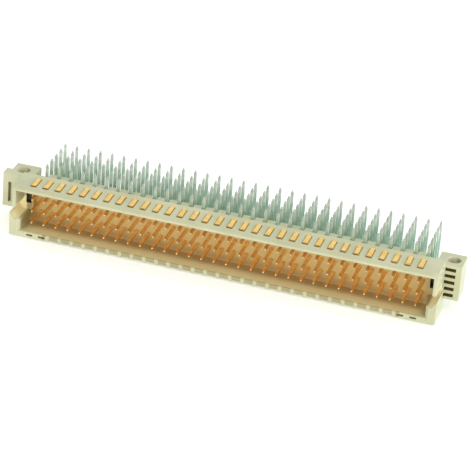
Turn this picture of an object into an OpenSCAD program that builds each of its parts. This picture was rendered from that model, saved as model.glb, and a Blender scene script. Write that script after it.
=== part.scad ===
// Right-angle male board connector with a five-row contact field.
// The open shroud faces -Y, the solder tails point up (+Z), and the long side runs along X.
// The origin lies midway between the two screw holes, on the face that seats on the board.
// Rows are lettered z, a, b, c, d from the top: z and d lie outside the shroud, a to c inside it.

/* [Contact field] */
// Spacing of the contact columns and of the rows
pitch = 2.54; // [2.5:0.02:3]
// Columns in one of the four banks of contacts
bank_columns = 8; // [6:1:12]
// Side of the square pins, and width of every solder tail
pin_w = 0.6; // [0.4:0.05:0.7]
// Length of the taper on a pin's mating tip
pin_taper = 0.8; // [0.3:0.1:1.5]
// Length of the taper on a solder tail's tip
tail_taper = 0.7; // [0.3:0.1:1.2]
// Width left flat at the end of a tapered tip
tip_flat = 0.22; // [0.1:0.02:0.3]
// Height of the solder tails above the board face
tail_h = 2.45; // [2:0.05:4.5]
// Inner radius of the right-angle bends
bend_r = 0.35; // [0.2:0.05:0.5]
// Distance from the screw holes' line back to the front row of tails
tail_offset = -0.15; // [-0.4:0.05:0.4]
// Distance of the middle row's axis below the board face
seat_to_row = 4.5; // [4.3:0.05:5]

/* [Outer contacts] */
// Thickness of the strips in rows z and d
strip_t = 0.4; // [0.3:0.02:0.44]
// Width of the mating pads
pad_w = 1; // [0.8:0.05:1.2]
// Distance of a pad's front end behind the shroud's front edge
pad_setback = 1.3; // [1.2:0.05:2]
// Height of the pads above the wall that they lie on
pad_proud = 0.2; // [0.1:0.02:0.25]
// Gap round a pad in its pocket
pad_gap = 0.16; // [0.1:0.02:0.3]
// Chamfer on a pad's front end
pad_lead = 0.18; // [0.05:0.01:0.25]
// Width of the ribs between the grooves under the bottom wall
rib_w = 0.65; // [0.5:0.05:1]
// Depth of the sloped lead-in at a groove's front end
groove_lead = 0.3; // [0.1:0.05:0.6]
// Height of the edge left between a groove's lead-in and the mouth's chamfer
lip_edge = 0.15; // [0.05:0.05:0.3]
// Leading contacts at each end of row d
leading = 2; // [1:1:3]
// Depth of the closed lip in front of a leading contact's groove
lip = 0.9; // [0.6:0.05:1.1]
// Length of a leading contact's nose inside the lip
nose_reach = 0.2; // [0.1:0.05:0.5]
// Height of a leading contact's nose above its pad
nose_rise = 0.58; // [0.45:0.02:0.6]

/* [Shroud] */
// Depth of the cavity from its mouth to its floor
cavity_depth = 6.7; // [6:0.1:8]
// Distance of the cavity floor behind the ears' front faces
floor_inset = 0.25; // [0.1:0.05:0.4]
// Distance of the pin tips behind the mouth
tip_recess = 0.9; // [0.3:0.1:1.5]
// Thickness of the top and bottom walls
wall = 1.15; // [1.1:0.05:1.5]
// Distance from the outer pin rows to the inside of the top and bottom walls
row_margin = 1.76; // [1.6:0.02:2.2]
// Distance from the end columns to the inside of the end walls
end_margin = 3.15; // [2.8:0.05:4]
// Thickness of the end walls above the end slots
end_wall = 0.75; // [0.6:0.05:1]
// Distance that the lower end blocks reach into the cavity
key_in = 0.95; // [0.5:0.05:1.4]
// Distance that the lower end blocks reach past the end walls
key_out = 0.4; // [0.2:0.05:0.8]
// Height of the end slots' upper edge above the middle row
slot_top = 0.72; // [0.4:0.02:1.2]
// Depth of the end slots' outer edge below the middle row
slot_outer = 0.5; // [0.3:0.02:0.9]
// Depth of the end slots' inner edge below the middle row
slot_inner = 1.85; // [1.4:0.05:2.2]
// Width of the flat inside the end slots' sloping edge
slot_flat = 1.1; // [0.6:0.05:1.4]
// Chamfer on the mouth's long inner edges and its upper ends
mouth_lead = 0.2; // [0.05:0.05:0.3]
// Chamfer on the inner front edges of the lower end blocks
key_lead = 0.6; // [0.2:0.05:0.8]
// Bevel on the outer front edge of the top wall
outer_lead = 0.6; // [0.2:0.05:0.7]
// Depth of the steps at both ends of the cavity floor
step_d = 1.6; // [1:0.1:2.4]
// Width of the steps at both ends of the cavity floor
step_w = 1.9; // [1.5:0.05:2]
// Width of the latch hole in each step
latch_w = 1.1; // [0.6:0.05:1.3]
// Height of the latch hole in each step
latch_h = 2.9; // [1.5:0.1:3.2]
// Depth of the latch holes' lower edge below the middle row
latch_drop = 0.45; // [0.2:0.05:0.8]
// Depth of the latch hole in each step
latch_d = 2.2; // [1:0.1:2.6]

/* [Ears] */
// Distance from the end columns to the screw holes
hole_margin = 5.08; // [4.9:0.02:5.5]
// Diameter of the screw holes
hole_d = 2.8; // [2.2:0.1:3]
// Distance of the ears' front faces in front of the screw holes
ear_front = 2.7; // [2.5:0.05:3.2]
// Distance of the ears' rear faces behind the screw holes
ear_rear = 2.4; // [2.2:0.05:3]
// Distance from a screw hole to its ear's inner end
ear_inner = 2.95; // [2.6:0.05:3.2]
// Distance from a screw hole to its ear's outer end
ear_outer = 2.15; // [2:0.05:3]
// Height of the ears
ear_h = 7.4; // [6.8:0.1:8]
// Width of the flange on the left ear
flange_w = 1.15; // [0.8:0.05:1.6]
// Depth of the flange on the left ear, from front to back
flange_d = 2.15; // [1.2:0.05:3]
// Width of the upright groove in the left ear's front
groove_w = 0.9; // [0.6:0.05:1.2]
// Height of the upright groove in the left ear's front
groove_h = 4.45; // [3:0.05:5.5]
// Depth of the upright groove's top below the board face
groove_drop = 1.95; // [1:0.05:2.4]
// Depth of the upright groove
groove_d = 1.1; // [0.3:0.05:1.3]
// Cells in the coding ladder in the right ear's front
cells = 5; // [3:1:5]
// Spacing of the coding cells
cell_pitch = 1.37; // [1.2:0.01:1.4]
// Height of one coding cell
cell_h = 0.7; // [0.4:0.05:0.85]
// Distance of the coding cells from the shroud's end wall
cell_margin = 0.1; // [0.05:0.05:0.4]
// Width of the coding cells
cell_w = 2.1; // [1.6:0.05:2.6]
// Depth of the coding cells
cell_d = 1.1; // [0.4:0.05:1.2]
// Depth of the first cell's top below the board face
cell_drop = 0.6; // [0.4:0.05:0.9]

/* [Body] */
// Distance of the body's top below the board face
board_gap = 0.2; // [0.1:0.05:0.4]
// Plastic left over the strips of row z behind the shroud
run_cover = 0.4; // [0.3:0.05:0.5]
// Plastic left over the strips of row z where the top wall ends
dive_cover = 0.15; // [0.1:0.05:0.3]
// Plastic left under the strips of row z at the cavity's rear edge
haunch_cover = 0.35; // [0.25:0.05:0.45]
// Straight run of the row z contacts between the body and their bends
exit_gap = 0.15; // [0.05:0.05:0.4]
// Distance that the comb's teeth reach behind the row z tails
comb_reach = 0.95; // [0.6:0.05:1.2]
// Height of the comb's teeth
comb_h = 0.9; // [0.5:0.05:1]
// Gap beside a row z tail in the comb
comb_gap = 0.12; // [0.05:0.01:0.2]
// Distance that a cut runs past the face that it opens
over = 1; // [0.5:0.1:2]

/* [Hidden] */
$fn = 48;
banks = 4;
columns = banks * bank_columns;
pin_rows = ["a", "b", "c"];
rows = concat("z", pin_rows, "d");
function row_index(row) = search([row], rows)[0];
turn = 45;
lead_sides = ["left", "right"];

body_colour = "#CDCFB6";
gold = "#F0C878";
tin = "#A9B5A8";

// Places across the field, counted from the left
function column_x(i) = (i - (columns - 1) / 2) * pitch;
field_half = column_x(columns - 1);

// Heights, counted from the board face
row_b_z = -seat_to_row;
function row_z(row) = row_b_z + (row_index("b") - row_index(row)) * pitch;
inner_h = pitch + row_margin;
outer_h = inner_h + wall;
top_z = row_b_z + outer_h;
bottom_z = row_b_z - outer_h;
ceiling_z = row_b_z + inner_h;
pocket_floor_z = top_z + pad_proud - strip_t;
groove_floor_z = bottom_z - pad_proud + strip_t;
body_top_z = -board_gap;
pad_z = pocket_floor_z + strip_t / 2;
strip_d_z = groove_floor_z - strip_t / 2;
run_z = body_top_z - run_cover - strip_t / 2;
nose_z = strip_d_z + nose_rise;
lead_z = row_b_z - inner_h - mouth_lead - lip_edge;

// Places from front to back, counted from the screw holes
floor_y = floor_inset - ear_front;
front_y = floor_y - cavity_depth;
tip_y = front_y + tip_recess;
pad_front_y = front_y + pad_setback;
function tail_y(row) = tail_offset + row_index(row) * pitch;
strip_bend = bend_r + strip_t / 2;
pin_bend = bend_r + pin_w / 2;
body_rear_y = tail_y("z") - strip_bend - exit_gap;
comb_rear_y = tail_y("z") + comb_reach;
miter = strip_t / 2 * tan(turn / 2);
// Row z turns down at 45 degrees, so that it is under the body's top where the shroud's top wall ends
dive_y = -ear_front - miter - (top_z + pad_proud - body_top_z) - dive_cover;
haunch = floor_y - (dive_y - miter) - (pocket_floor_z - ceiling_z) + haunch_cover;
nose_y = front_y + lip - nose_reach;
nose_dive_y = front_y + lip + miter;

// Half-lengths of the shroud
cavity_half = field_half + end_margin;
upper_half = cavity_half + end_wall;
lower_half = upper_half + key_out;
key_half = cavity_half - key_in;
hole_x = field_half + hole_margin;
// The block behind the shroud is shorter, to leave room for a nut under each ear
block_half = key_half + end_wall;

// Box from two opposite corners
module span(low, high) {
    translate(low)
        cube(high - low);
}

// Outline in X and Z, drawn from y0 back to y1
module slab(y0, y1) {
    translate([0, y1, 0])
        rotate([90, 0, 0])
            linear_extrude(y1 - y0)
                children();
}

// Outline in Y and Z, drawn to a width across X
module plate(width) {
    translate([-width / 2, 0, 0])
        rotate([90, 0, 90])
            linear_extrude(width)
                children();
}

// Rectangle in X and Z
module field(half, low, high) {
    translate([-half, low])
        square([2 * half, high - low]);
}

// Four-sided taper on a bar of size [w, t], standing on z = 0
module taper(w, t, length) {
    intersection() {
        rotate([90, 0, 0])
            linear_extrude(t, center = true)
                polygon([[-w / 2, 0], [w / 2, 0], [tip_flat / 2, length], [-tip_flat / 2, length]]);
        plate(w)
            polygon([[-t / 2, 0], [t / 2, 0], [tip_flat / 2, length], [-tip_flat / 2, length]]);
    }
}

// Bend from a run at height z up into a row's tail, with the tail to its tapered tip
module bend_and_tail(row, z, t, radius) {
    y = tail_y(row);
    translate([0, y - radius, z + radius])
        rotate([0, 90, 0])
            rotate_extrude(angle = 90)
                translate([radius - t / 2, -pin_w / 2])
                    square([t, pin_w]);
    span([-pin_w / 2, y - t / 2, z + radius], [pin_w / 2, y + t / 2, tail_h - tail_taper]);
    translate([0, y, tail_h - tail_taper])
        taper(pin_w, t, tail_taper);
}

// Side view of a strip that turns down at 45 degrees from height z0 to z1
module dive(y0, y_turn, y1, z0, z1) {
    h = strip_t / 2;
    y_level = y_turn + z0 - z1;
    polygon([
        [y0, z0 - h], [y_turn - miter, z0 - h], [y_level - miter, z1 - h], [y1, z1 - h],
        [y1, z1 + h], [y_level + miter, z1 + h], [y_turn + miter, z0 + h], [y0, z0 + h]
    ]);
}

// Rows a to c: a square pin through the cavity floor, bent up behind the body
module pin_contact(row) {
    z = row_z(row);
    translate([0, tip_y + pin_taper, z])
        rotate([90, 0, 0])
            taper(pin_w, pin_w, pin_taper);
    span(
        [-pin_w / 2, tip_y + pin_taper, z - pin_w / 2],
        [pin_w / 2, tail_y(row) - pin_bend, z + pin_w / 2]
    );
    bend_and_tail(row, z, pin_w, pin_bend);
}

// Row z: a pad in the top wall, turned down into the body and bent up behind it
module upper_contact() {
    plate(pad_w)
        polygon([
            [pad_front_y, pocket_floor_z], [dive_y - miter, pocket_floor_z],
            [dive_y - miter, pocket_floor_z + strip_t], [pad_front_y + pad_lead, pocket_floor_z + strip_t],
            [pad_front_y, pocket_floor_z + strip_t - pad_lead]
        ]);
    upper_run(tail_y("z") - strip_bend);
    bend_and_tail("z", run_z, strip_t, strip_bend);
}

// The part of a row z strip that lies in the plastic, back to y1
module upper_run(y1) {
    plate(pin_w)
        dive(dive_y - 2 * miter, dive_y, y1, pad_z, run_z);
}

// Row d: a pad under the bottom wall that runs straight back to its bend
module lower_contact() {
    plate(pad_w)
        polygon([
            [pad_front_y, groove_floor_z], [-ear_front, groove_floor_z],
            [-ear_front, groove_floor_z - strip_t], [pad_front_y + pad_lead, groove_floor_z - strip_t],
            [pad_front_y, groove_floor_z - strip_t + pad_lead]
        ]);
    lower_run();
}

// Leading contact of row d: its nose is turned up into a slot in the front edge
module leading_contact() {
    plate(pad_w)
        dive(nose_y, nose_dive_y, -ear_front, nose_z, strip_d_z);
    lower_run();
}

// The part of a row d strip behind its pad
module lower_run() {
    span(
        [-pin_w / 2, -ear_front, groove_floor_z - strip_t],
        [pin_w / 2, tail_y("d") - strip_bend, groove_floor_z]
    );
    bend_and_tail("d", strip_d_z, strip_t, strip_bend);
}

// True where a column of row d has a leading contact
function is_leading(i) = i < leading || i >= columns - leading;

// One bank of one row
module contacts(row, bank) {
    color(row == "z" || row == "d" ? gold : tin)
        for (i = [(bank - 1) * bank_columns : bank * bank_columns - 1])
            if (row != "d" || !is_leading(i))
                translate([column_x(i), 0, 0])
                    if (row == "z")
                        upper_contact();
                    else if (row == "d")
                        lower_contact();
                    else
                        pin_contact(row);
}

// The leading contacts at one end of row d
module leading_contacts(side) {
    first = side == "left" ? 0 : columns - leading;
    color(gold)
        for (i = [first : first + leading - 1])
            translate([column_x(i), 0, 0])
                leading_contact();
}

// Front view of the shroud's outer form, wider below the middle row
module shroud_outline() {
    field(upper_half, bottom_z, top_z);
    field(lower_half, bottom_z, row_b_z);
}

// The cavity between its end steps, with sloped edges along its floor
module cavity() {
    low = row_b_z - inner_h;
    high = ceiling_z;
    intersection() {
        slab(front_y - over, floor_y + over) {
            field(cavity_half - step_w, low - over, high + over);
            field(key_half, low - over, row_b_z - slot_inner);
        }
        plate(2 * cavity_half)
            polygon([
                [front_y - over, low], [floor_y - haunch, low], [floor_y, low + haunch],
                [floor_y, high - haunch], [floor_y - haunch, high], [front_y - over, high]
            ]);
    }
}

// The cavity's ends in front of the steps, with the slots through the end walls
module cavity_ends() {
    slab(front_y - over, floor_y - step_d) {
        field(key_half, row_b_z - inner_h, ceiling_z);
        field(cavity_half, row_b_z - slot_inner, ceiling_z);
        for (side = [-1, 1])
            polygon([
                [side * key_half, row_b_z + slot_top],
                [side * (lower_half + over), row_b_z + slot_top],
                [side * (lower_half + over), row_b_z - slot_outer],
                [side * lower_half, row_b_z - slot_outer],
                [side * (key_half + slot_flat), row_b_z - slot_inner],
                [side * key_half, row_b_z - slot_inner]
            ]);
    }
}

// Chamfer round the mouth of a rectangular cavity, by lead_x at its ends
module mouth(half, low, high, lead_x) {
    y0 = front_y - over;
    y1 = front_y + max(lead_x, mouth_lead);
    grown_x = lead_x + over;
    grown_z = mouth_lead + over;
    intersection() {
        translate([0, 0, low - grown_z])
            linear_extrude(high - low + 2 * grown_z)
                polygon([
                    [-half - grown_x, y0], [half + grown_x, y0], [half, front_y + lead_x],
                    [half, y1], [-half, y1], [-half, front_y + lead_x]
                ]);
        plate(2 * (half + grown_x))
            polygon([
                [y0, low - grown_z], [front_y + mouth_lead, low], [y1, low],
                [y1, high], [front_y + mouth_lead, high], [y0, high + grown_z]
            ]);
    }
}

// Bevel along the outer front edge of the top wall
module outer_bevel() {
    plate(2 * lower_half + over)
        polygon([
            [front_y - over, top_z - outer_lead - over],
            [front_y + outer_lead + over, top_z + over],
            [front_y - over, top_z + over]
        ]);
}

// Comb behind the body that keeps the row z tails apart, cut to the body's height later
module tail_comb() {
    half = (pitch - pin_w) / 2 - comb_gap;
    for (i = [1 : columns - 1])
        translate([column_x(i) - pitch / 2, 0, 0])
            span([-half, body_rear_y - over, body_top_z - comb_h], [half, comb_rear_y, top_z]);
}

// Room for the board's edge behind the top wall
module board_step() {
    span(
        [-lower_half - over, -ear_front, body_top_z],
        [lower_half + over, comb_rear_y + over, top_z + over]
    );
}

// The latch hole in each step
module latch_holes() {
    for (side = [-1, 1])
        translate([side * (cavity_half - step_w / 2), floor_y - step_d, row_b_z - latch_drop])
            span([-latch_w / 2, -over / 2, 0], [latch_w / 2, latch_d, latch_h]);
}

// The open shroud, and the block behind its floor that grips the contacts
module shroud() {
    difference() {
        union() {
            slab(front_y, floor_y)
                shroud_outline();
            slab(floor_y - over, body_rear_y)
                field(block_half, bottom_z, top_z);
            tail_comb();
        }
        cavity();
        cavity_ends();
        mouth(key_half, row_b_z - inner_h, ceiling_z, key_lead);
        mouth(cavity_half, row_b_z - slot_inner, ceiling_z, mouth_lead);
        outer_bevel();
        board_step();
        latch_holes();
    }
}

// The two screw ears, with the flange on the left one
module ears() {
    for (side = [-1, 1]) {
        inner = side * (hole_x - ear_inner);
        outer = side * (hole_x + ear_outer);
        span(
            [min(inner, outer), -ear_front, -ear_h],
            [max(inner, outer), ear_rear, 0]
        );
    }
    span(
        [-hole_x - ear_outer - flange_w, -ear_front, -ear_h],
        [-hole_x, -ear_front + flange_d, 0]
    );
}

module ear_cuts() {
    for (side = [-1, 1])
        translate([side * hole_x, 0, -ear_h - over])
            cylinder(d = hole_d, h = ear_h + 2 * over);
    translate([-hole_x - ear_outer, -ear_front, -groove_drop - groove_h])
        span([0, -over, 0], [groove_w, groove_d, groove_h]);
    for (i = [0 : cells - 1])
        translate([upper_half + cell_margin, -ear_front, -cell_drop - i * cell_pitch])
            span([0, -over, -cell_h], [cell_w, cell_d, 0]);
}

// Pockets and passages for the row z strips
module upper_seats() {
    for (i = [0 : columns - 1])
        translate([column_x(i), 0, 0]) {
            span(
                [-pad_w / 2 - pad_gap, pad_front_y - pad_gap, pocket_floor_z],
                [pad_w / 2 + pad_gap, dive_y - miter, top_z + over]
            );
            upper_run(body_rear_y + over);
        }
}

// Grooves under the bottom wall for the row d strips, open in front except at the leading contacts
module lower_seats() {
    for (i = [0 : columns - 1])
        translate([column_x(i), 0, 0]) {
            plate(pitch - rib_w)
                groove_side(is_leading(i) ? front_y + lip : front_y - over, !is_leading(i));
            span(
                [-pin_w / 2, -ear_front - over, bottom_z - over],
                [pin_w / 2, body_rear_y + over, groove_floor_z]
            );
            if (is_leading(i))
                nose_seat();
        }
}

// Side view of a groove from y0 back, with a lead-in where it is open in front
module groove_side(y0, is_open) {
    front = is_open
        ? [[front_y + groove_lead, groove_floor_z], [front_y, lead_z], [y0, lead_z]]
        : [[y0, groove_floor_z]];
    rear = [[y0, bottom_z - over], [-ear_front, bottom_z - over], [-ear_front, groove_floor_z]];
    polygon(concat(rear, front));
}

// Slot in the front edge, and the space behind it, for one leading contact's nose
module nose_seat() {
    half = pad_w / 2 + pad_gap;
    roof_z = nose_z + strip_t / 2;
    span([-half, front_y - over, roof_z - strip_t], [half, nose_dive_y, roof_z]);
    span(
        [-half, front_y + lip, groove_floor_z - over],
        [half, nose_dive_y + nose_rise + miter, roof_z]
    );
}

// Square passages for the pins of rows a to c
module pin_seats() {
    for (row = pin_rows, i = [0 : columns - 1])
        translate([column_x(i), 0, row_z(row)])
            span([-pin_w / 2, floor_y - over, -pin_w / 2], [pin_w / 2, body_rear_y + over, pin_w / 2]);
}

module housing() {
    color(body_colour)
        difference() {
            union() {
                shroud();
                ears();
            }
            ear_cuts();
            pin_seats();
            upper_seats();
            lower_seats();
        }
}

housing();
for (row = rows, bank = [1 : banks])
    contacts(row, bank);
for (side = lead_sides)
    leading_contacts(side);
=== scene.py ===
# %% [markdown]
# # A right-angle board connector
# This lesson dresses a male board connector for a studio picture: a moulded shroud with screw ears,
# 160 formed contacts in five rows, and solder tails that stand up behind the body. The construction
# model is loaded first as a fixed frame, in metres. Every piece made here lies exactly where its
# solid lies, so the sizes below are either read from that frame or are small finishing sizes.

# %% Open the frame
import math

import bmesh
import bpy
from mathutils import Matrix, Vector


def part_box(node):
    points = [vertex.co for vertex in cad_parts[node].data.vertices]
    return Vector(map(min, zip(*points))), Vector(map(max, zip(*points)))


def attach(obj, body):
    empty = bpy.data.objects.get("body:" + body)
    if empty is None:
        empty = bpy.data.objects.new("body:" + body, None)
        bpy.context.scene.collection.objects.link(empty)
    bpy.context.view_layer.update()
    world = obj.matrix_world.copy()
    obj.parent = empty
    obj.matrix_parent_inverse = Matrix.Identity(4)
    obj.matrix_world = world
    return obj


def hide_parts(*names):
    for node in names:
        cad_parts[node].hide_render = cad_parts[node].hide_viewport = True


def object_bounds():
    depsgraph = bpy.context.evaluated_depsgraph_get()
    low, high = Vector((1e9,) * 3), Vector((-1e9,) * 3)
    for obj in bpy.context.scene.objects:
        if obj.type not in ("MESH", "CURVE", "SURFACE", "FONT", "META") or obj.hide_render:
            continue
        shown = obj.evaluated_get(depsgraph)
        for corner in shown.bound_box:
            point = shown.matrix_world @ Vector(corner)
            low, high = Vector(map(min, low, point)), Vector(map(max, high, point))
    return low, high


MM = 0.001
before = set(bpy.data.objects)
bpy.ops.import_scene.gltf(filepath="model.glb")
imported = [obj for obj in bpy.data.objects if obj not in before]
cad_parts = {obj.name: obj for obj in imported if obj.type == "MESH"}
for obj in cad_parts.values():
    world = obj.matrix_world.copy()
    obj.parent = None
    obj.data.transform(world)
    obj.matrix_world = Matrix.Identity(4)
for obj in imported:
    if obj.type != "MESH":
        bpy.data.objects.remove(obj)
bpy.ops.object.select_all(action="DESELECT")
cad_low, cad_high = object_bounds()
print("Frame:", len(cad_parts), "nodes,", [round(v / MM, 2) for v in cad_high - cad_low], "mm")

# %% [markdown]
# ## Camera
# The photograph was taken from the front, a little to the right and from above, with a long lens, so
# that the rows stay nearly parallel. A camera could be turned by hand until it looks right. Here it is
# described as a photographer would: a point to aim at, a direction to look from, a small roll of the
# camera, a distance and a focal length. All of these were worked out from the even columns of contacts.

# %% Camera
AIM = Vector((0.38, 0.39, -4.88)) * MM
AZIMUTH = math.radians(14.92)
ELEVATION = math.radians(28.08)
ROLL = math.radians(4.79)
DISTANCE = 469 * MM
FOCAL_LENGTH = 181.6
NEAR_LIMIT = 50 * MM


def look_from(azimuth, elevation, roll=0):
    """The turn of a camera or lamp that looks back along this direction."""
    side = Matrix.Rotation(azimuth, 4, "Z")
    tilt = Matrix.Rotation(math.pi / 2 - elevation, 4, "X")
    return side @ tilt @ Matrix.Rotation(roll, 4, "Z")


bpy.ops.object.camera_add()
camera = bpy.context.object
camera.name = "camera"
camera.data.lens = FOCAL_LENGTH
camera.data.clip_start = NEAR_LIMIT
camera.data.dof.use_dof = False
camera.matrix_world = (
    Matrix.Translation(AIM)
    @ look_from(AZIMUTH, ELEVATION, ROLL)
    @ Matrix.Translation((0, 0, DISTANCE))
)
bpy.context.scene.camera = camera
print("Camera at", [round(v / MM, 1) for v in camera.matrix_world.translation], "mm")

# %% [markdown]
# ## Helpers for materials
# Paint and plating colours are easiest to write as the hex values of a screen, but Blender's shaders
# work in linear light, so one function converts them. Another adds one node: its settings and its
# inputs are given by name, and an input is either a plain value or the output of another node.

# %% Helpers for materials
# The curve of screen colours: a straight start up to a knee, and a power above it.
SCREEN_KNEE = 0.04045
SCREEN_SLOPE = 12.92
SCREEN_OFFSET = 0.055
SCREEN_POWER = 2.4
BYTE_FULL = 255
# A Mix node repeats its socket names for each kind of data, so its colour sockets go by their place.
MIX_FACTOR, MIX_A, MIX_B, MIX_RESULT = 0, 6, 7, 2


def hex_colour(code):
    """A screen colour such as C8CBAC as linear red, green, blue and alpha."""
    parts = [int(code[i : i + 2], 16) / BYTE_FULL for i in (0, 2, 4)]
    linear = [
        c / SCREEN_SLOPE if c <= SCREEN_KNEE else ((c + SCREEN_OFFSET) / (1 + SCREEN_OFFSET)) ** SCREEN_POWER
        for c in parts
    ]
    return (*linear, 1)


def add_node(tree, kind, inputs=None, **settings):
    """One new node. A value in inputs is set on its socket, and another node's output is linked."""
    made = tree.nodes.new(kind)
    for name, value in settings.items():
        setattr(made, name, value)
    for name, value in (inputs or {}).items():
        if isinstance(value, bpy.types.NodeSocket):
            tree.links.new(value, made.inputs[name])
        else:
            made.inputs[name].default_value = value
    return made


def new_material(name):
    """An empty node material and its tree."""
    material = bpy.data.materials.new(name)
    material.use_nodes = True
    material.node_tree.nodes.clear()
    return material, material.node_tree


print("Hex C8CBAC is", [round(v, 3) for v in hex_colour("C8CBAC")[:3]], "in linear light")

# %% [markdown]
# ## Moulded plastic: where its recesses are
# Inside the shroud, light arrives by way of the gilded pins and turns the walls amber. In the narrow
# recesses hardly any light comes back out, and the plastic there looks dark brown, while thin walls let
# light through. All this could be left to the lamps, but a few bounces show less of it than real plastic
# does, which lets light sink in. So this light and shade is painted into the plastic's colour, in
# soft-edged boxes of Object coordinates, where it stays in place from every side. First come the boxes.

# %% Where the recesses are
# Two corners of each box in mm, which reach a little past the walls that they colour.
CAVITY = ((-41.6, -9.2, -8.83), (41.6, -2.42, -0.17))
TOP_EDGE = ((-42.2, -9.3, 0.42), (42.2, -8.5, 1.1))
REAR_CORNER = ((-40.6, -6.2, -9.6), (40.6, -1.8, -7.6))
MOUTH = ((-41.5, -9.1, -9.5), (41.5, -6.2, -8.0))
CODING_CELLS = ((43.3, -2.65, -6.9), (45.6, -1.5, -0.5))
GROOVE_FLOOR = ((-46.45, -2.65, -6.6), (-45.55, -1.5, -2.2))
GROOVE_LEFT = ((-46.7, -2.65, -6.6), (-46.45, -1.5, -1.8))
GROOVE_TOP = ((-46.7, -2.65, -2.2), (-45.55, -1.5, -1.8))
# These are found at both ends of the part, at this distance from its middle.
END_X = 41.4
SLOT_X = 42.7
LATCH_X = 41.57
NOSE_X = 38.1
HOLE_X = 44.45
CAVITY_ENDS = [((x - 1.3, -8.6, -9.3), (x + 1.3, -1.6, -1.0)) for x in (-END_X, END_X)]
END_SLOTS = [((x - 0.95, -9.1, -6.9), (x + 0.95, -3.6, -3.3)) for x in (-SLOT_X, SLOT_X)]
LATCH_HOLES = [((x - 0.65, -4.0, -5.05), (x + 0.65, -1.8, -1.95)) for x in (-LATCH_X, LATCH_X)]
NOSE_SLOTS = [((x - 2.1, -9.12, -9.6), (x + 2.1, -8.2, -9.14)) for x in (-NOSE_X, NOSE_X)]
SCREW_HOLES = [((x - 1.5, -1.5, -7.3), (x + 1.5, 1.5, -0.03)) for x in (-HOLE_X, HOLE_X)]
HOLE_SHADES = [((x + 0.1, -1.6, -7.3), (x + 2.0, 2.0, -0.03)) for x in (-HOLE_X, HOLE_X)]


def inside_box(tree, place, corners, soft):
    """1 inside the box between two corners, falling to 0 at its sides over a soft edge, all in mm."""
    low, high = (Vector(corner) * MM for corner in corners)
    shift = add_node(tree, "ShaderNodeVectorMath", {0: place, 1: (low + high) / 2}, operation="SUBTRACT")
    away = add_node(tree, "ShaderNodeVectorMath", {0: shift.outputs[0]}, operation="ABSOLUTE")
    axes = add_node(tree, "ShaderNodeSeparateXYZ", {"Vector": away.outputs[0]})
    inside = 1
    for axis, half in zip("XYZ", (high - low) / 2):
        near = add_node(
            tree,
            "ShaderNodeMapRange",
            {"Value": axes.outputs[axis], "From Min": half, "From Max": half - soft * MM, "To Max": inside},
            interpolation_type="SMOOTHSTEP",
        )
        inside = near.outputs["Result"]
    return inside


print("Cavity:", [round(b - a, 2) for a, b in zip(*CAVITY)], "mm, with", len(LATCH_HOLES), "latch holes")

# %% [markdown]
# ## Moulded plastic: grain, fibres and flow marks
# The housing is glass-filled PBT, an oatmeal-coloured engineering plastic. The mould leaves a satin skin
# with a fine grain, short glass fibres show as faint specks, and slow flow marks shift the colour a
# little. Three noises at three real sizes give these, which a single flat colour never could.

# %% Grain, fibres and flow marks
PLASTIC_DEEP = "BFBE9B"
FIBRE_DARK = "A3A17D"
FLOW_MARK = 9 * MM
# Real fibres are 0.01 mm across. They are drawn 0.3 mm apart, or they would not show.
FIBRE_SPECK = 0.3 * MM
FIBRE_DETAIL = 3
FIBRE_MOST = 0.6
MOULD_GRAIN = 0.12 * MM
GRAIN_DEPTH = 0.01 * MM
GRAIN_BUMP = 0.25
SATIN_LEAST = 0.3
SATIN_MOST = 0.44

# Moulded PBT looks dry and even, with soft highlights along its edges.
plastic, tree = new_material("moulded_pbt")
place = add_node(tree, "ShaderNodeTexCoord").outputs["Object"]
flow = add_node(tree, "ShaderNodeTexNoise", {"Vector": place, "Scale": 1 / FLOW_MARK})
flow_share = add_node(
    tree,
    "ShaderNodeMapRange",
    {"Value": flow.outputs["Fac"], "From Min": 0.35, "From Max": 0.65},
)
fibres = add_node(
    tree,
    "ShaderNodeTexNoise",
    {"Vector": place, "Scale": 1 / FIBRE_SPECK, "Detail": FIBRE_DETAIL},
)
fibre_share = add_node(
    tree,
    "ShaderNodeMapRange",
    {"Value": fibres.outputs["Fac"], "From Min": 0.55, "From Max": 0.8, "To Max": FIBRE_MOST},
)
grain = add_node(tree, "ShaderNodeTexNoise", {"Vector": place, "Scale": 1 / MOULD_GRAIN})
satin = add_node(
    tree,
    "ShaderNodeMapRange",
    {
        "Value": grain.outputs["Fac"],
        "From Min": 0.3,
        "From Max": 0.7,
        "To Min": SATIN_LEAST,
        "To Max": SATIN_MOST,
    },
)
bump = add_node(
    tree,
    "ShaderNodeBump",
    {"Height": grain.outputs["Fac"], "Strength": GRAIN_BUMP, "Distance": GRAIN_DEPTH},
)
# Each layer is a share from 0 to 1 and the colour that it mixes in.
layers = [(flow_share.outputs["Result"], PLASTIC_DEEP), (fibre_share.outputs["Result"], FIBRE_DARK)]
print("Noises at", [round(size / MM, 2) for size in (FLOW_MARK, FIBRE_SPECK, MOULD_GRAIN)], "mm")

# %% [markdown]
# ## Moulded plastic: light and shade in the recesses
# The painted amber light on the walls of the cavity grows the deeper they lie, so it follows the depth.
# Each other place has one colour: painted light on the mouth, in the end slots and on the rims of thin
# walls, which are pale, and painted shade along the top front edge, in the rear corners and the ends of
# the cavity, and in cells, grooves, slots, latch holes and screw holes, which are dark. Painting them by
# hand would need an unwrapped mesh. A list of boxes with their softness in mm, their strength and their
# colour does the same, and stays easy to adjust.

# %% Light and shade in the recesses
housing_low, housing_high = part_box("housing")
CAVITY_FLOOR = -2.45 * MM
# Painted amber light, for the light that the gilded pins bounce into the cavity; it grows with depth.
CAVITY_PAINTED_AMBER_LIGHT = "DCC180"
AMBER_STARTS = 0.3 * MM
AMBER_SHARE = 0.85
# Painted shade on the bevel along the top front edge, which catches more light than the top.
EDGE_SHADE = "A9A684"
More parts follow.
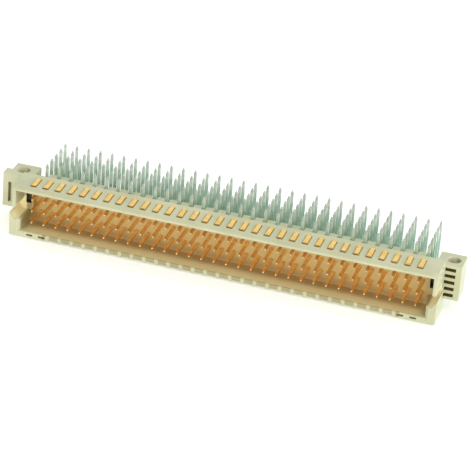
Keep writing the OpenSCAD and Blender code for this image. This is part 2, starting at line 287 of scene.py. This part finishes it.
# Painted light on the mouth of the cavity.
MOUTH_PAINTED_LIGHT = "F4E0A4"
# Painted shade in the deep rear corners of the cavity.
CORNER_PAINTED_SHADE = "8C5A2A"
# Painted shade at both ends of the cavity.
END_PAINTED_SHADE = "7C6834"
# Painted light in the end slots, as light that comes through the plastic.
SLOT_PAINTED_LIGHT = "FCEEBC"
# Painted shade in the coding cells, the upright groove, the nose slots and part of the screw holes.
RECESS_PAINTED_SHADE = "665618"
# Painted shade, darkest of all, in the latch holes.
LATCH_PAINTED_SHADE = "382C16"
# Painted light on the groove's floor and in the screw holes, as light through thin walls.
THIN_WALL_PAINTED_LIGHT = "F2EED2"
# An edge as soft as this, in mm, looks sharp.
CRISP = 0.02

axes = add_node(tree, "ShaderNodeSeparateXYZ", {"Vector": place})
depth = add_node(
    tree,
    "ShaderNodeMapRange",
    {
        "Value": axes.outputs["Y"],
        "From Min": housing_low.y + AMBER_STARTS,
        "From Max": CAVITY_FLOOR,
        "To Max": AMBER_SHARE,
    },
    interpolation_type="SMOOTHSTEP",
)
amber_light_share = add_node(
    tree,
    "ShaderNodeMath",
    {0: depth.outputs["Result"], 1: inside_box(tree, place, CAVITY, CRISP)},
    operation="MULTIPLY",
)
layers.append((amber_light_share.outputs[0], CAVITY_PAINTED_AMBER_LIGHT))
# The rows below paint light and shade: each gives boxes, softness in mm, strength and colour.
for boxes, soft, strength, towards in (
    ([TOP_EDGE], 0.1, 0.35, EDGE_SHADE),
    ([MOUTH], 0.7, 0.55, MOUTH_PAINTED_LIGHT),
    ([REAR_CORNER], 0.8, 0.42, CORNER_PAINTED_SHADE),
    (CAVITY_ENDS, 0.9, 0.5, END_PAINTED_SHADE),
    (END_SLOTS, 0.4, 0.85, SLOT_PAINTED_LIGHT),
    ([CODING_CELLS], CRISP, 0.85, RECESS_PAINTED_SHADE),
    ([GROOVE_LEFT, GROOVE_TOP], CRISP, 0.8, RECESS_PAINTED_SHADE),
    (NOSE_SLOTS, CRISP, 0.3, RECESS_PAINTED_SHADE),
    (LATCH_HOLES, CRISP, 0.9, LATCH_PAINTED_SHADE),
    ([GROOVE_FLOOR, *SCREW_HOLES], CRISP, 0.8, THIN_WALL_PAINTED_LIGHT),
    (HOLE_SHADES, 0.5, 0.6, RECESS_PAINTED_SHADE),
):
    for corners in boxes:
        share = add_node(
            tree,
            "ShaderNodeMath",
            {0: inside_box(tree, place, corners, soft), 1: strength},
            operation="MULTIPLY",
        )
        layers.append((share.outputs[0], towards))
print("Layers of colour so far:", len(layers))

# %% [markdown]
# ## Moulded plastic: the ribbed lip and the shader
# Between its ribs the front of the lower lip is set back and lies in shade, which is painted there darker
# than the ribs' ends. The ribs repeat with the contacts, so a Ping-Pong of x gives the distance from the
# nearest rib for all of them at once. Then every layer is mixed over the pale plastic in turn, and the
# result goes to one shader.

# %% The ribbed lip and the shader
PITCH = 2.54 * MM
RIB_WIDTH = 0.65 * MM
RIB_EDGE = 0.1 * MM
# Two corners in mm, as for the recesses.
FRONT_LIP = ((-36.7, -9.25, -9.8), (36.7, -8.8, -8.7))
# Painted shade on the lower lip's front between the ribs.
LIP_PAINTED_SHADE = "9C8A58"
LIP_SHARE = 0.7
PLASTIC_PALE = "CCCAA9"
PBT_IOR = 1.55

from_rib = add_node(
    tree,
    "ShaderNodeMath",
    {0: axes.outputs["X"], 1: PITCH / 2},
    operation="PINGPONG",
)
between_ribs = add_node(
    tree,
    "ShaderNodeMapRange",
    {
        "Value": from_rib.outputs[0],
        "From Min": RIB_WIDTH / 2,
        "From Max": RIB_WIDTH / 2 + RIB_EDGE,
        "To Max": LIP_SHARE,
    },
)
lip_share = add_node(
    tree,
    "ShaderNodeMath",
    {0: inside_box(tree, place, FRONT_LIP, CRISP), 1: between_ribs.outputs["Result"]},
    operation="MULTIPLY",
)
layers.append((lip_share.outputs[0], LIP_PAINTED_SHADE))
colour = hex_colour(PLASTIC_PALE)
for share, towards in layers:
    mixed = add_node(
        tree,
        "ShaderNodeMix",
        {MIX_FACTOR: share, MIX_A: colour, MIX_B: hex_colour(towards)},
        data_type="RGBA",
    )
    colour = mixed.outputs[MIX_RESULT]
shader = add_node(
    tree,
    "ShaderNodeBsdfPrincipled",
    {
        "Base Color": colour,
        "Roughness": satin.outputs["Result"],
        "IOR": PBT_IOR,
        "Normal": bump.outputs[0],
    },
)
add_node(tree, "ShaderNodeOutputMaterial", {"Surface": shader.outputs["BSDF"]})
print("Made", plastic.name, "with", len(tree.nodes), "nodes")

# %% [markdown]
# ## Plated contacts: gold and tin
# Each contact is a strip or wire of copper alloy with two platings: gold where it mates, tin where it is
# soldered. Two materials would need two pieces or a face by face choice. The change lies inside the
# plastic, so one material can switch from gold to tin along Y. Both platings have duller patches.

# %% Gold and tin
PLATING_CHANGE = -1.6 * MM
PLATING_FADE = 0.2 * MM
PLATING_PATCH = 0.8 * MM
TIN_BRIGHT = "F4F5F2"
TIN_DULL = "E2E8E1"


def plated_colour(tree, place, axes, gold, gold_dull):
    """Gold in front of the plating change and tin behind it: the colour, the tin's share and the dull's."""
    tin = add_node(
        tree,
        "ShaderNodeMapRange",
        {
            "Value": axes.outputs["Y"],
            "From Min": PLATING_CHANGE,
            "From Max": PLATING_CHANGE + PLATING_FADE,
        },
    )
    patches = add_node(tree, "ShaderNodeTexNoise", {"Vector": place, "Scale": 1 / PLATING_PATCH})
    dull = add_node(
        tree,
        "ShaderNodeMapRange",
        {"Value": patches.outputs["Fac"], "From Min": 0.35, "From Max": 0.7},
    )
    platings = []
    for clean, worn in ((gold, gold_dull), (TIN_BRIGHT, TIN_DULL)):
        mixed = add_node(
            tree,
            "ShaderNodeMix",
            {MIX_FACTOR: dull.outputs["Result"], MIX_A: hex_colour(clean), MIX_B: hex_colour(worn)},
            data_type="RGBA",
        )
        platings.append(mixed.outputs[MIX_RESULT])
    mixed = add_node(
        tree,
        "ShaderNodeMix",
        {MIX_FACTOR: tin.outputs["Result"], MIX_A: platings[0], MIX_B: platings[1]},
        data_type="RGBA",
    )
    return mixed.outputs[MIX_RESULT], tin.outputs["Result"], dull.outputs["Result"]


print("Gold changes to tin at y =", PLATING_CHANGE / MM, "mm")

# %% [markdown]
# ## Plated contacts: light and shade along them
# A field of bright tails mirrors little but itself, so their light and shade is painted: painted shade
# makes the tips greyer and the rows next to the body darker, and low between their neighbours painted shade
# gives the tails a green tint, most of all on their sides. The cut front ends of the pads get painted shade
# and those of the pins a painted highlight. Lamps alone gave too little of this, so a list of overlays adds
# it, each along one axis, from where it starts to where it has its full strength.

# %% Light and shade along the contacts
FRONT_END = 0.3 * MM
# Painted shade: on the tails near the body, at their tips, greener low down, and darkest on their sides
# there.
TIN_NEAR_PAINTED_SHADE = "B4CBB2"
FAR_TAILS = 7 * MM
NEAR_TAILS = 3 * MM
TIN_TIP_PAINTED_SHADE = "A8A8A6"
TIP_STARTS = 1.3 * MM
TIP_ENDS = 2.3 * MM
TIN_BASE_PAINTED_SHADE = "D2ECDC"
BASE_STARTS = 0.6 * MM
BASE_ENDS = -1.2 * MM
TIN_SHADE = "4A7866"
SHADE_STARTS = 0.3 * MM
SHADE_ENDS = -0.8 * MM


def shaded(tree, colour, tin, facing, axes, front, front_y):
    """The colour with its painted light and shade: the front end, then near tails, tips, bases and shaded
    sides.
    """
    normal = add_node(tree, "ShaderNodeSeparateXYZ", {"Vector": facing})
    sideways = add_node(tree, "ShaderNodeMath", {0: normal.outputs["X"]}, operation="ABSOLUTE")
    tin_sides = add_node(tree, "ShaderNodeMath", {0: tin, 1: sideways.outputs[0]}, operation="MULTIPLY")
    for covers, strength, axis, starts, ends, towards in (
        (1, 1, "Y", front_y + FRONT_END, front_y, front),
        (tin, 0.35, "Y", FAR_TAILS, NEAR_TAILS, TIN_NEAR_PAINTED_SHADE),
        (tin, 0.45, "Z", TIP_STARTS, TIP_ENDS, TIN_TIP_PAINTED_SHADE),
        (tin, 0.6, "Z", BASE_STARTS, BASE_ENDS, TIN_BASE_PAINTED_SHADE),
        (tin_sides.outputs[0], 0.45, "Z", SHADE_STARTS, SHADE_ENDS, TIN_SHADE),
    ):
        most = add_node(tree, "ShaderNodeMapRange", {"Value": covers, "To Max": strength})
        share = add_node(
            tree,
            "ShaderNodeMapRange",
            {
                "Value": axes.outputs[axis],
                "From Min": starts,
                "From Max": ends,
                "To Max": most.outputs["Result"],
            },
            interpolation_type="SMOOTHSTEP",
        )
        mixed = add_node(
            tree,
            "ShaderNodeMix",
            {MIX_FACTOR: share.outputs["Result"], MIX_A: colour, MIX_B: hex_colour(towards)},
            data_type="RGBA",
        )
        colour = mixed.outputs[MIX_RESULT]
    return colour


print("Tails are shaded from z =", SHADE_STARTS / MM, "down to", SHADE_ENDS / MM, "mm")

# %% [markdown]
# ## Plated contacts: drawn lines and sheen
# The outer pads have a bright gold, and the pins in the cavity a copy of it, painted a deeper orange where
# dull, for the amber light in the cavity.
# Rolling and drawing leave fine lines along the metal, which a noise stretched along Y and Z gives to the
# bump. Tin is much more matt than gold, and both are rougher where they are dull.

# %% Drawn lines and sheen
PAD_GOLD = "FFDD90"
PAD_GOLD_DULL = "F6C66E"
# Painted shade on the cut front ends of the pads.
PAD_FRONT_PAINTED_SHADE = "A88450"
PIN_GOLD = "FFDA98"
# Dull patches of the pins' gold, painted a deeper orange for the amber light in the cavity.
PIN_GOLD_DULL_AND_AMBER_LIGHT = "F6B86C"
# A pale painted highlight on the pins' pointed front ends.
PIN_FRONT_PAINTED_HIGHLIGHT = "FFDDA8"
GOLD_ROUGHNESS = 0.3
TIN_ROUGHNESS = 0.72
ROUGHER_WHERE_DULL = 0.14
# Drawing lines are far finer than this, and are drawn 0.06 mm apart to show at all.
DRAWN_LINE = 0.06 * MM
DRAWN_LENGTH = 0.7 * MM
LINE_DEPTH = 0.005 * MM
LINE_BUMP = 0.15


def plated(name, gold, gold_dull, front, front_y):
    """A metal that is gold in front and tin behind, with a painted front end: shade for pads, a highlight
    for pins.
    """
    material, tree = new_material(name)
    texture = add_node(tree, "ShaderNodeTexCoord")
    place = texture.outputs["Object"]
    axes = add_node(tree, "ShaderNodeSeparateXYZ", {"Vector": place})
    colour, tin, dull = plated_colour(tree, place, axes, gold, gold_dull)
    colour = shaded(tree, colour, tin, texture.outputs["Normal"], axes, front, front_y)
    stretch = DRAWN_LINE / DRAWN_LENGTH
    along = add_node(tree, "ShaderNodeMapping", {"Vector": place, "Scale": (1, stretch, stretch)})
    lines = add_node(tree, "ShaderNodeTexNoise", {"Vector": along.outputs[0], "Scale": 1 / DRAWN_LINE})
    bump = add_node(
        tree,
        "ShaderNodeBump",
        {"Height": lines.outputs["Fac"], "Strength": LINE_BUMP, "Distance": LINE_DEPTH},
    )
    satin = add_node(
        tree,
        "ShaderNodeMapRange",
        {"Value": tin, "To Min": GOLD_ROUGHNESS, "To Max": TIN_ROUGHNESS},
    )
    sheen = add_node(
        tree,
        "ShaderNodeMath",
        {0: dull, 1: ROUGHER_WHERE_DULL, 2: satin.outputs["Result"]},
        operation="MULTIPLY_ADD",
    )
    shader = add_node(
        tree,
        "ShaderNodeBsdfPrincipled",
        {"Base Color": colour, "Metallic": 1, "Roughness": sheen.outputs[0], "Normal": bump.outputs[0]},
    )
    add_node(tree, "ShaderNodeOutputMaterial", {"Surface": shader.outputs["BSDF"]})
    return material


# Selective gold over nickel is bright and yellow, and bright tin is a cool, slightly green grey.
pads_low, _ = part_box("contacts_z_1")
outer_plating = plated("gold_plated_pads", PAD_GOLD, PAD_GOLD_DULL, PAD_FRONT_PAINTED_SHADE, pads_low.y)
# The pins' copy of the gold is painted a deeper orange where it is dull, for the amber light in the cavity.
pins_low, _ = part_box("contacts_a_1")
inner_plating = plated("pin_gold_painted_light", PIN_GOLD, PIN_GOLD_DULL_AND_AMBER_LIGHT, PIN_FRONT_PAINTED_HIGHLIGHT, pins_low.y)
print("Made", outer_plating.name, "and", inner_plating.name)

# %% [markdown]
# ## Finishing tools
# A mould or a press never leaves a razor-sharp edge, and it is the small rounding that catches the light.
# It could be faked in the shader, but then the outline stays sharp. A Bevel modifier on the sharp edges
# changes the shape itself, and weighted normals keep the faces between them flat. Another tool gives a
# finished piece its material, hangs it on the root and hides the solids of the frame that it stands for.

# %% Finishing tools
SHARP = math.radians(25)


def only(piece):
    """Makes this the one selected and active object."""
    bpy.ops.object.select_all(action="DESELECT")
    piece.select_set(True)
    bpy.context.view_layer.objects.active = piece


def apply_all(piece):
    """Applies the piece's modifiers in their order."""
    only(piece)
    for modifier in list(piece.modifiers):
        bpy.ops.object.modifier_apply(modifier=modifier.name)


def round_edges(piece, width, segments):
    """Rounds the sharp edges and shades the rest flat."""
    bevel = piece.modifiers.new("rounding", "BEVEL")
    bevel.width = width
    bevel.segments = segments
    bevel.limit_method = "ANGLE"
    bevel.angle_limit = SHARP
    bevel.use_clamp_overlap = False
    normals = piece.modifiers.new("normals", "WEIGHTED_NORMAL")
    normals.keep_sharp = True
    only(piece)
    bpy.ops.object.shade_smooth()
    apply_all(piece)


def dress(piece, material, slot, *nodes):
    """Gives the piece its material, sets it in the place of its solids and lets it ride."""
    piece.data.materials.clear()
    piece.data.materials.append(material)
    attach(piece, "root")
    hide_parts(*nodes)


print("Edges are rounded from", round(math.degrees(SHARP)), "degrees")

# %% [markdown]
# ## Housing
# The housing is one moulding with hundreds of pockets and passages, and modelling them a second time would
# only bring mistakes. So the moulding's solid is copied. Its triangles are merged into whole faces, because
# a bevel needs clean edges, but the large faces stay cut at every column and at the middle row, which keeps
# each face simple. Then every sharp edge is rounded by a twentieth of a millimetre.

# %% Housing
EDGE_ROUNDING = 0.05 * MM
EDGE_STEPS = 2
MERGE_WITHIN = 0.002 * MM
FLAT_WITHIN = math.radians(0.5)
BISECT_WITHIN = 0.0001 * MM
COLUMNS = 32
# The cuts go on for two columns past the contacts, as far as the screw holes.
CUTS_BEYOND = 2
CUTS_X = [(i - (COLUMNS - 1) / 2) * PITCH for i in range(-CUTS_BEYOND, COLUMNS + CUTS_BEYOND)]
MIDDLE_ROW_Z = -4.5 * MM


def cut_along(axis, lines):
    """In edit mode, cuts every face where it crosses these lines of x (axis 0) or z (axis 2)."""
    normal = [int(i == axis) for i in range(3)]
    for line in lines:
        bpy.ops.mesh.select_all(action="SELECT")
        bpy.ops.mesh.bisect(plane_co=[line * n for n in normal], plane_no=normal, threshold=BISECT_WITHIN)


def join_flat_faces(piece, cuts):
    """Dissolves the edges inside flat faces, except those that lie on one of the (axis, line) cuts."""
    bpy.ops.mesh.select_mode(type="EDGE")
    bpy.ops.mesh.select_all(action="DESELECT")
    mesh = bmesh.from_edit_mesh(piece.data)
    for edge in mesh.edges:
        on_cut = any(all(abs(v.co[axis] - line) < MERGE_WITHIN for v in edge.verts) for axis, line in cuts)
        if not on_cut and edge.calc_face_angle(math.pi) < FLAT_WITHIN:
            edge.select_set(True)
    bmesh.update_edit_mesh(piece.data)
    bpy.ops.mesh.dissolve_edges(use_verts=True)


housing = bpy.data.objects.new("moulded_housing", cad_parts["housing"].data.copy())
bpy.context.scene.collection.objects.link(housing)
only(housing)
bpy.ops.object.mode_set(mode="EDIT")
bpy.ops.mesh.select_all(action="SELECT")
bpy.ops.mesh.remove_doubles(threshold=MERGE_WITHIN)
cut_along(0, CUTS_X)
cut_along(2, [MIDDLE_ROW_Z])
join_flat_faces(housing, [(0, x) for x in CUTS_X] + [(2, MIDDLE_ROW_Z)])
bpy.ops.object.mode_set(mode="OBJECT")
faces_before = len(housing.data.polygons)
round_edges(housing, EDGE_ROUNDING, EDGE_STEPS)
dress(housing, plastic, "housing_plastic", "housing")
print("Housing:", faces_before, "flat faces became", len(housing.data.polygons), "with rounded edges")

# %% [markdown]
# ## A bent strip
# A real contact is cut as a flat strip, bent, and only then has its finished shape. It could be put
# together from boxes, but the bend would never look right. So it is modelled the way it is made: a plane is
# the first stretch, and its rear edge is extruded along the route, spun up through the right-angle bend and
# extruded into the tail. A square pin is the same thing with a strip as thick as it is wide.

# %% A bent strip
WIRE = 0.6 * MM
BEND_INSIDE = 0.35 * MM
BEND_STEPS = 4
TAIL_POINT = 0.7 * MM
NEAR = 0.01 * MM


def pick(piece, kind, test):
    """In edit mode, selects only the vertices or edges (kind) whose corners all pass the test."""
    mesh = bmesh.from_edit_mesh(piece.data)
    bpy.ops.mesh.select_mode(type="VERT" if kind == "verts" else "EDGE")
    bpy.ops.mesh.select_all(action="DESELECT")
    for part in getattr(mesh, kind):
        corners = [part] if kind == "verts" else part.verts
        if all(test(corner.co) for corner in corners):
            part.select_set(True)
    mesh.select_flush_mode()
    bmesh.update_edit_mesh(piece.data)


def extrude_by(x, y, z):
    """Extrudes what is selected by this much."""
    bpy.ops.mesh.extrude_region_move(TRANSFORM_OT_translate={"value": (x, y, z)})


def bent_strip(name, route, tail, radius):
    """A flat strip along the route of (y, z) points, bent up to the tail's tip, and left in edit mode."""
    (y0, z0), (y1, _) = route[:2]
    bpy.ops.mesh.primitive_plane_add(size=1, location=(0, (y0 + y1) / 2, z0))
    piece = bpy.context.object
    piece.name = name
    piece.scale = (WIRE, y1 - y0, 1)
    bpy.ops.object.transform_apply(location=True, rotation=True, scale=True)
    bpy.ops.object.mode_set(mode="EDIT")
    pick(piece, "edges", lambda co: co.y > y1 - NEAR)
    stops = [*route[1:], (tail[0] - radius, route[-1][1])]
    for (ya, za), (yb, zb) in zip(stops, stops[1:]):
        extrude_by(0, yb - ya, zb - za)
    bend_y, bend_z = stops[-1]
    bpy.ops.mesh.spin(
        steps=BEND_STEPS,
        angle=-math.pi / 2,
        center=(0, bend_y, bend_z + radius),
        axis=(1, 0, 0),
    )
    extrude_by(0, 0, tail[1] - TAIL_POINT - bend_z - radius)
    extrude_by(0, 0, TAIL_POINT)
    return piece


print("Strips:", WIRE / MM, "mm wide, bent round", BEND_INSIDE / MM, "mm")

# %% [markdown]
# ## One formed contact
# The strip becomes a contact in the order of the press shop. Pads get their width by extruding the strip's
# two sides, a Solidify modifier gives it its thickness, the ends are drawn in to blunt points, and a small
# bevel breaks the edges. A pad has no point: its front edge is rounded, so that the mating spring slides on.

# %% One formed contact
PAD_WIDTH = 1.0 * MM
BLUNT = 0.22 * MM
PAD_NOSE = 0.13 * MM
NOSE_STEPS = 4
CONTACT_ROUNDING = 0.05 * MM
CONTACT_STEPS = 1


def point_ends(piece, start, tail, thickness, wide_until, pad_side):
    """Draws in the tail's tip, and points the front end or rounds a pad's front edge."""
    y0, z0 = start
    in_width, in_depth = BLUNT / WIRE, BLUNT / thickness
    bpy.ops.object.mode_set(mode="EDIT")
    pick(piece, "verts", lambda co: co.z > tail[1] - NEAR)
    bpy.ops.transform.resize(value=(in_width, in_depth, 1), center_override=(0, tail[0], tail[1]))
    if wide_until is None:
        pick(piece, "verts", lambda co: co.y < y0 + NEAR)
        bpy.ops.transform.resize(value=(in_width, 1, in_depth), center_override=(0, y0, z0))
    elif pad_side:
        face_z = z0 + pad_side * thickness / 2
        pick(piece, "edges", lambda co: co.y < y0 + NEAR and abs(co.z - face_z) < NEAR)
        bpy.ops.mesh.bevel(offset=PAD_NOSE, segments=NOSE_STEPS, affect="EDGES")
    bpy.ops.mesh.select_all(action="SELECT")
    bpy.ops.mesh.normals_make_consistent(inside=False)
    bpy.ops.object.mode_set(mode="OBJECT")


def formed_contact(route, tail, thickness, wide_until=None, pad_side=0):
    """A contact at x = 0 that follows the route of (y, z) points, then bends up into its tail.

    tail is the (y, z) of the tail's tip. Up to wide_until the strip has the pad's width, and pad_side
    is 1 or -1 where the pad's mating face looks up or down. Without a pad the front end is pointed.
    """
    piece = bent_strip("pattern", route, tail, BEND_INSIDE + thickness / 2)
    if wide_until is not None:
        for side in (1, -1):
            pick(piece, "edges", lambda co: co.x * side > WIRE / 2 - NEAR and co.y < wide_until + NEAR)
            extrude_by((PAD_WIDTH - WIRE) / 2 * side, 0, 0)
    bpy.ops.mesh.select_all(action="SELECT")
    bpy.ops.mesh.remove_doubles(threshold=MERGE_WITHIN)
    bpy.ops.mesh.normals_make_consistent(inside=False)
    bpy.ops.object.mode_set(mode="OBJECT")
    solidify = piece.modifiers.new("thickness", "SOLIDIFY")
    solidify.thickness = thickness
    solidify.offset = 0
    solidify.use_even_offset = True
    apply_all(piece)
    point_ends(piece, route[0], tail, thickness, wide_until, pad_side)
    round_edges(piece, CONTACT_ROUNDING, CONTACT_STEPS)
    return piece


print("Pads:", PAD_WIDTH / MM, "mm wide, with blunt tails of", BLUNT / MM, "mm")

# %% [markdown]
# ## Pins of rows a, b and c
# Each row is one shape that repeats every 2.54 mm. The frame groups the contacts in banks, and the boxes of
# those banks give the places: the front end, the height of the run, and the tail. So a contact is modelled
# once per row at x = 0, and an Array modifier repeats it along a bank. Every bank has a mesh of its own.
# The pins inside the shroud come first: square wires with a blunt point at both ends.

# %% Pins of rows a, b and c
PIN_POINT = 0.8 * MM
BANKS = (1, 2, 3, 4)


def lay_out(pattern, name, node, half_width, material, slot):
    """Repeats the pattern contact along one bank, in the place of its node."""
    low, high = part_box(node)
    first = low.x + half_width
    count = round((high.x - half_width - first) / PITCH) + 1
    piece = bpy.data.objects.new(name, pattern.data.copy())
    bpy.context.scene.collection.objects.link(piece)
    piece.data.transform(Matrix.Translation((first, 0, 0)))
    array = piece.modifiers.new("columns", "ARRAY")
    array.count = count
    array.use_relative_offset = False
    array.use_constant_offset = True
    array.constant_offset_displace = (PITCH, 0, 0)
    apply_all(piece)
    dress(piece, material, slot, node)
    return count


def lay_row(pattern, banks, half_width, material, slot):
    """Lays the pattern out along each bank's (piece, node), removes it, and counts the contacts."""
    count = sum(lay_out(pattern, name, node, half_width, material, slot) for name, node in banks)
    bpy.data.objects.remove(pattern)
    return count


made = {}
for row in "abc":
    low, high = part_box(f"contacts_{row}_1")
    axis = low.z + WIRE / 2
    tail = (high.y - WIRE / 2, high.z)
    pattern = formed_contact([(low.y, axis), (low.y + PIN_POINT, axis)], tail, WIRE)
    banks = [(f"pins_{row}_{bank}", f"contacts_{row}_{bank}") for bank in BANKS]
    made[row] = lay_row(pattern, banks, WIRE / 2, inner_plating, "inner_pins")
print("Pins in each row:", made)

# %% [markdown]
# ## Pads of rows z and d
# The outer rows are flat strips whose wide front lies in the shroud's top or bottom wall as a gold pad. A
# strip of row z dives from its pad into the body at 45 degrees, and one of row d runs straight back under
# it. Both are the same bent strip with another route, so nothing new has to be modelled.

# %% Pads of rows z and d
STRIP = 0.4 * MM
PAD_PROUD = 0.2 * MM
PAD_REAR_Y = -4.283 * MM
EAR_FRONT = -2.7 * MM

low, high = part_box("contacts_z_1")
pad_z = housing_high.z + PAD_PROUD - STRIP / 2
run_z = low.z + STRIP / 2
route = [(low.y, pad_z), (PAD_REAR_Y, pad_z), (PAD_REAR_Y + pad_z - run_z, run_z)]
pattern = formed_contact(route, (high.y - STRIP / 2, high.z), STRIP, PAD_REAR_Y, 1)
banks = [(f"pads_z_{bank}", f"contacts_z_{bank}") for bank in BANKS]
made["z"] = lay_row(pattern, banks, PAD_WIDTH / 2, outer_plating, "outer_contacts")

low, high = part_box("contacts_d_1")
run_z = low.z + STRIP / 2
tail = (high.y - STRIP / 2, high.z)
pattern = formed_contact([(low.y, run_z), (EAR_FRONT, run_z)], tail, STRIP, EAR_FRONT, -1)
banks = [(f"pads_d_{bank}", f"contacts_d_{bank}") for bank in BANKS]
made["d"] = lay_row(pattern, banks, PAD_WIDTH / 2, outer_plating, "outer_contacts")
print("Pads:", made["z"], "on top and", made["d"], "below")

# %% [markdown]
# ## Leading contacts
# Two contacts at each end of row d touch first when the connector is plugged in. Their noses rise and are
# tucked into slots in the shroud's front edge. They share the run and the tail of row d, so only the front
# of the route is new: a nose, a slope down, and the pad behind it.

# %% Leading contacts
NOSE_RISE = 0.58 * MM
NOSE_TURN = 0.983 * MM

nose_low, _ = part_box("leading_contacts_d_left")
nose_turn_y = housing_low.y + NOSE_TURN
route = [
    (nose_low.y, run_z + NOSE_RISE),
    (nose_turn_y, run_z + NOSE_RISE),
    (nose_turn_y + NOSE_RISE, run_z),
    (EAR_FRONT, run_z),
]
pattern = formed_contact(route, tail, STRIP, EAR_FRONT)
banks = [(f"leading_pads_{end}", f"leading_contacts_d_{end}") for end in ("left", "right")]
made["leading"] = lay_row(pattern, banks, PAD_WIDTH / 2, outer_plating, "outer_contacts")
print("Contacts in each row:", made)

# %% [markdown]
# ## Floor and light
# The part stands on a plain white sweep in a white room, which lights it softly from everywhere and gives
# the metal something to mirror. A large soft box far off to the right makes the right-hand faces the
# brightest, and a small, warm one in front reaches into the cavity. The sweep glows a little, as a white
# table under bright lamps does, so that it stays white round the part.

# %% Floor and light
FLOOR_SIZE = 6.0
FLOOR_WHITE = "FCFCFA"
FLOOR_ROUGHNESS = 0.9
FLOOR_GLOW = 0.25
ROOM_WHITE = "FBFFFB"
ROOM_STRENGTH = 0.95


def soft_box(name, azimuth, elevation, distance, size, watts, colour):
    """A square soft box that looks at the part from this direction."""
    bpy.ops.object.light_add(type="AREA")
    lamp = bpy.context.object
    lamp.name = name
    lamp.data.size = size
    lamp.data.energy = watts
    lamp.data.color = hex_colour(colour)[:3]
    turn = look_from(math.radians(azimuth), math.radians(elevation))
    lamp.matrix_world = Matrix.Translation(AIM) @ turn @ Matrix.Translation((0, 0, distance))


bpy.ops.mesh.primitive_plane_add(size=FLOOR_SIZE, location=(0, 0, cad_low.z))
floor = bpy.context.object
floor.name = "floor"
# A paper sweep is white and quite matt.
white, tree = new_material("white_sweep")
shader = add_node(
    tree,
    "ShaderNodeBsdfPrincipled",
    {
        "Base Color": hex_colour(FLOOR_WHITE),
        "Roughness": FLOOR_ROUGHNESS,
        "Emission Color": hex_colour(FLOOR_WHITE),
        "Emission Strength": FLOOR_GLOW,
    },
)
add_node(tree, "ShaderNodeOutputMaterial", {"Surface": shader.outputs["BSDF"]})
floor.data.materials.append(white)

soft_box("right_box", azimuth=88, elevation=8, distance=2.0, size=1.0, watts=27, colour="E8F2FF")
soft_box("front_box", azimuth=8, elevation=9, distance=0.8, size=0.3, watts=1.15, colour="FFF3E0")

room = bpy.data.worlds.new("white_room")
room.use_nodes = True
room.node_tree.nodes.clear()
glow = add_node(
    room.node_tree,
    "ShaderNodeBackground",
    {"Color": hex_colour(ROOM_WHITE), "Strength": ROOM_STRENGTH},
)
add_node(room.node_tree, "ShaderNodeOutputWorld", {"Surface": glow.outputs["Background"]})
bpy.context.scene.world = room
bpy.context.scene.view_settings.view_transform = "Standard"
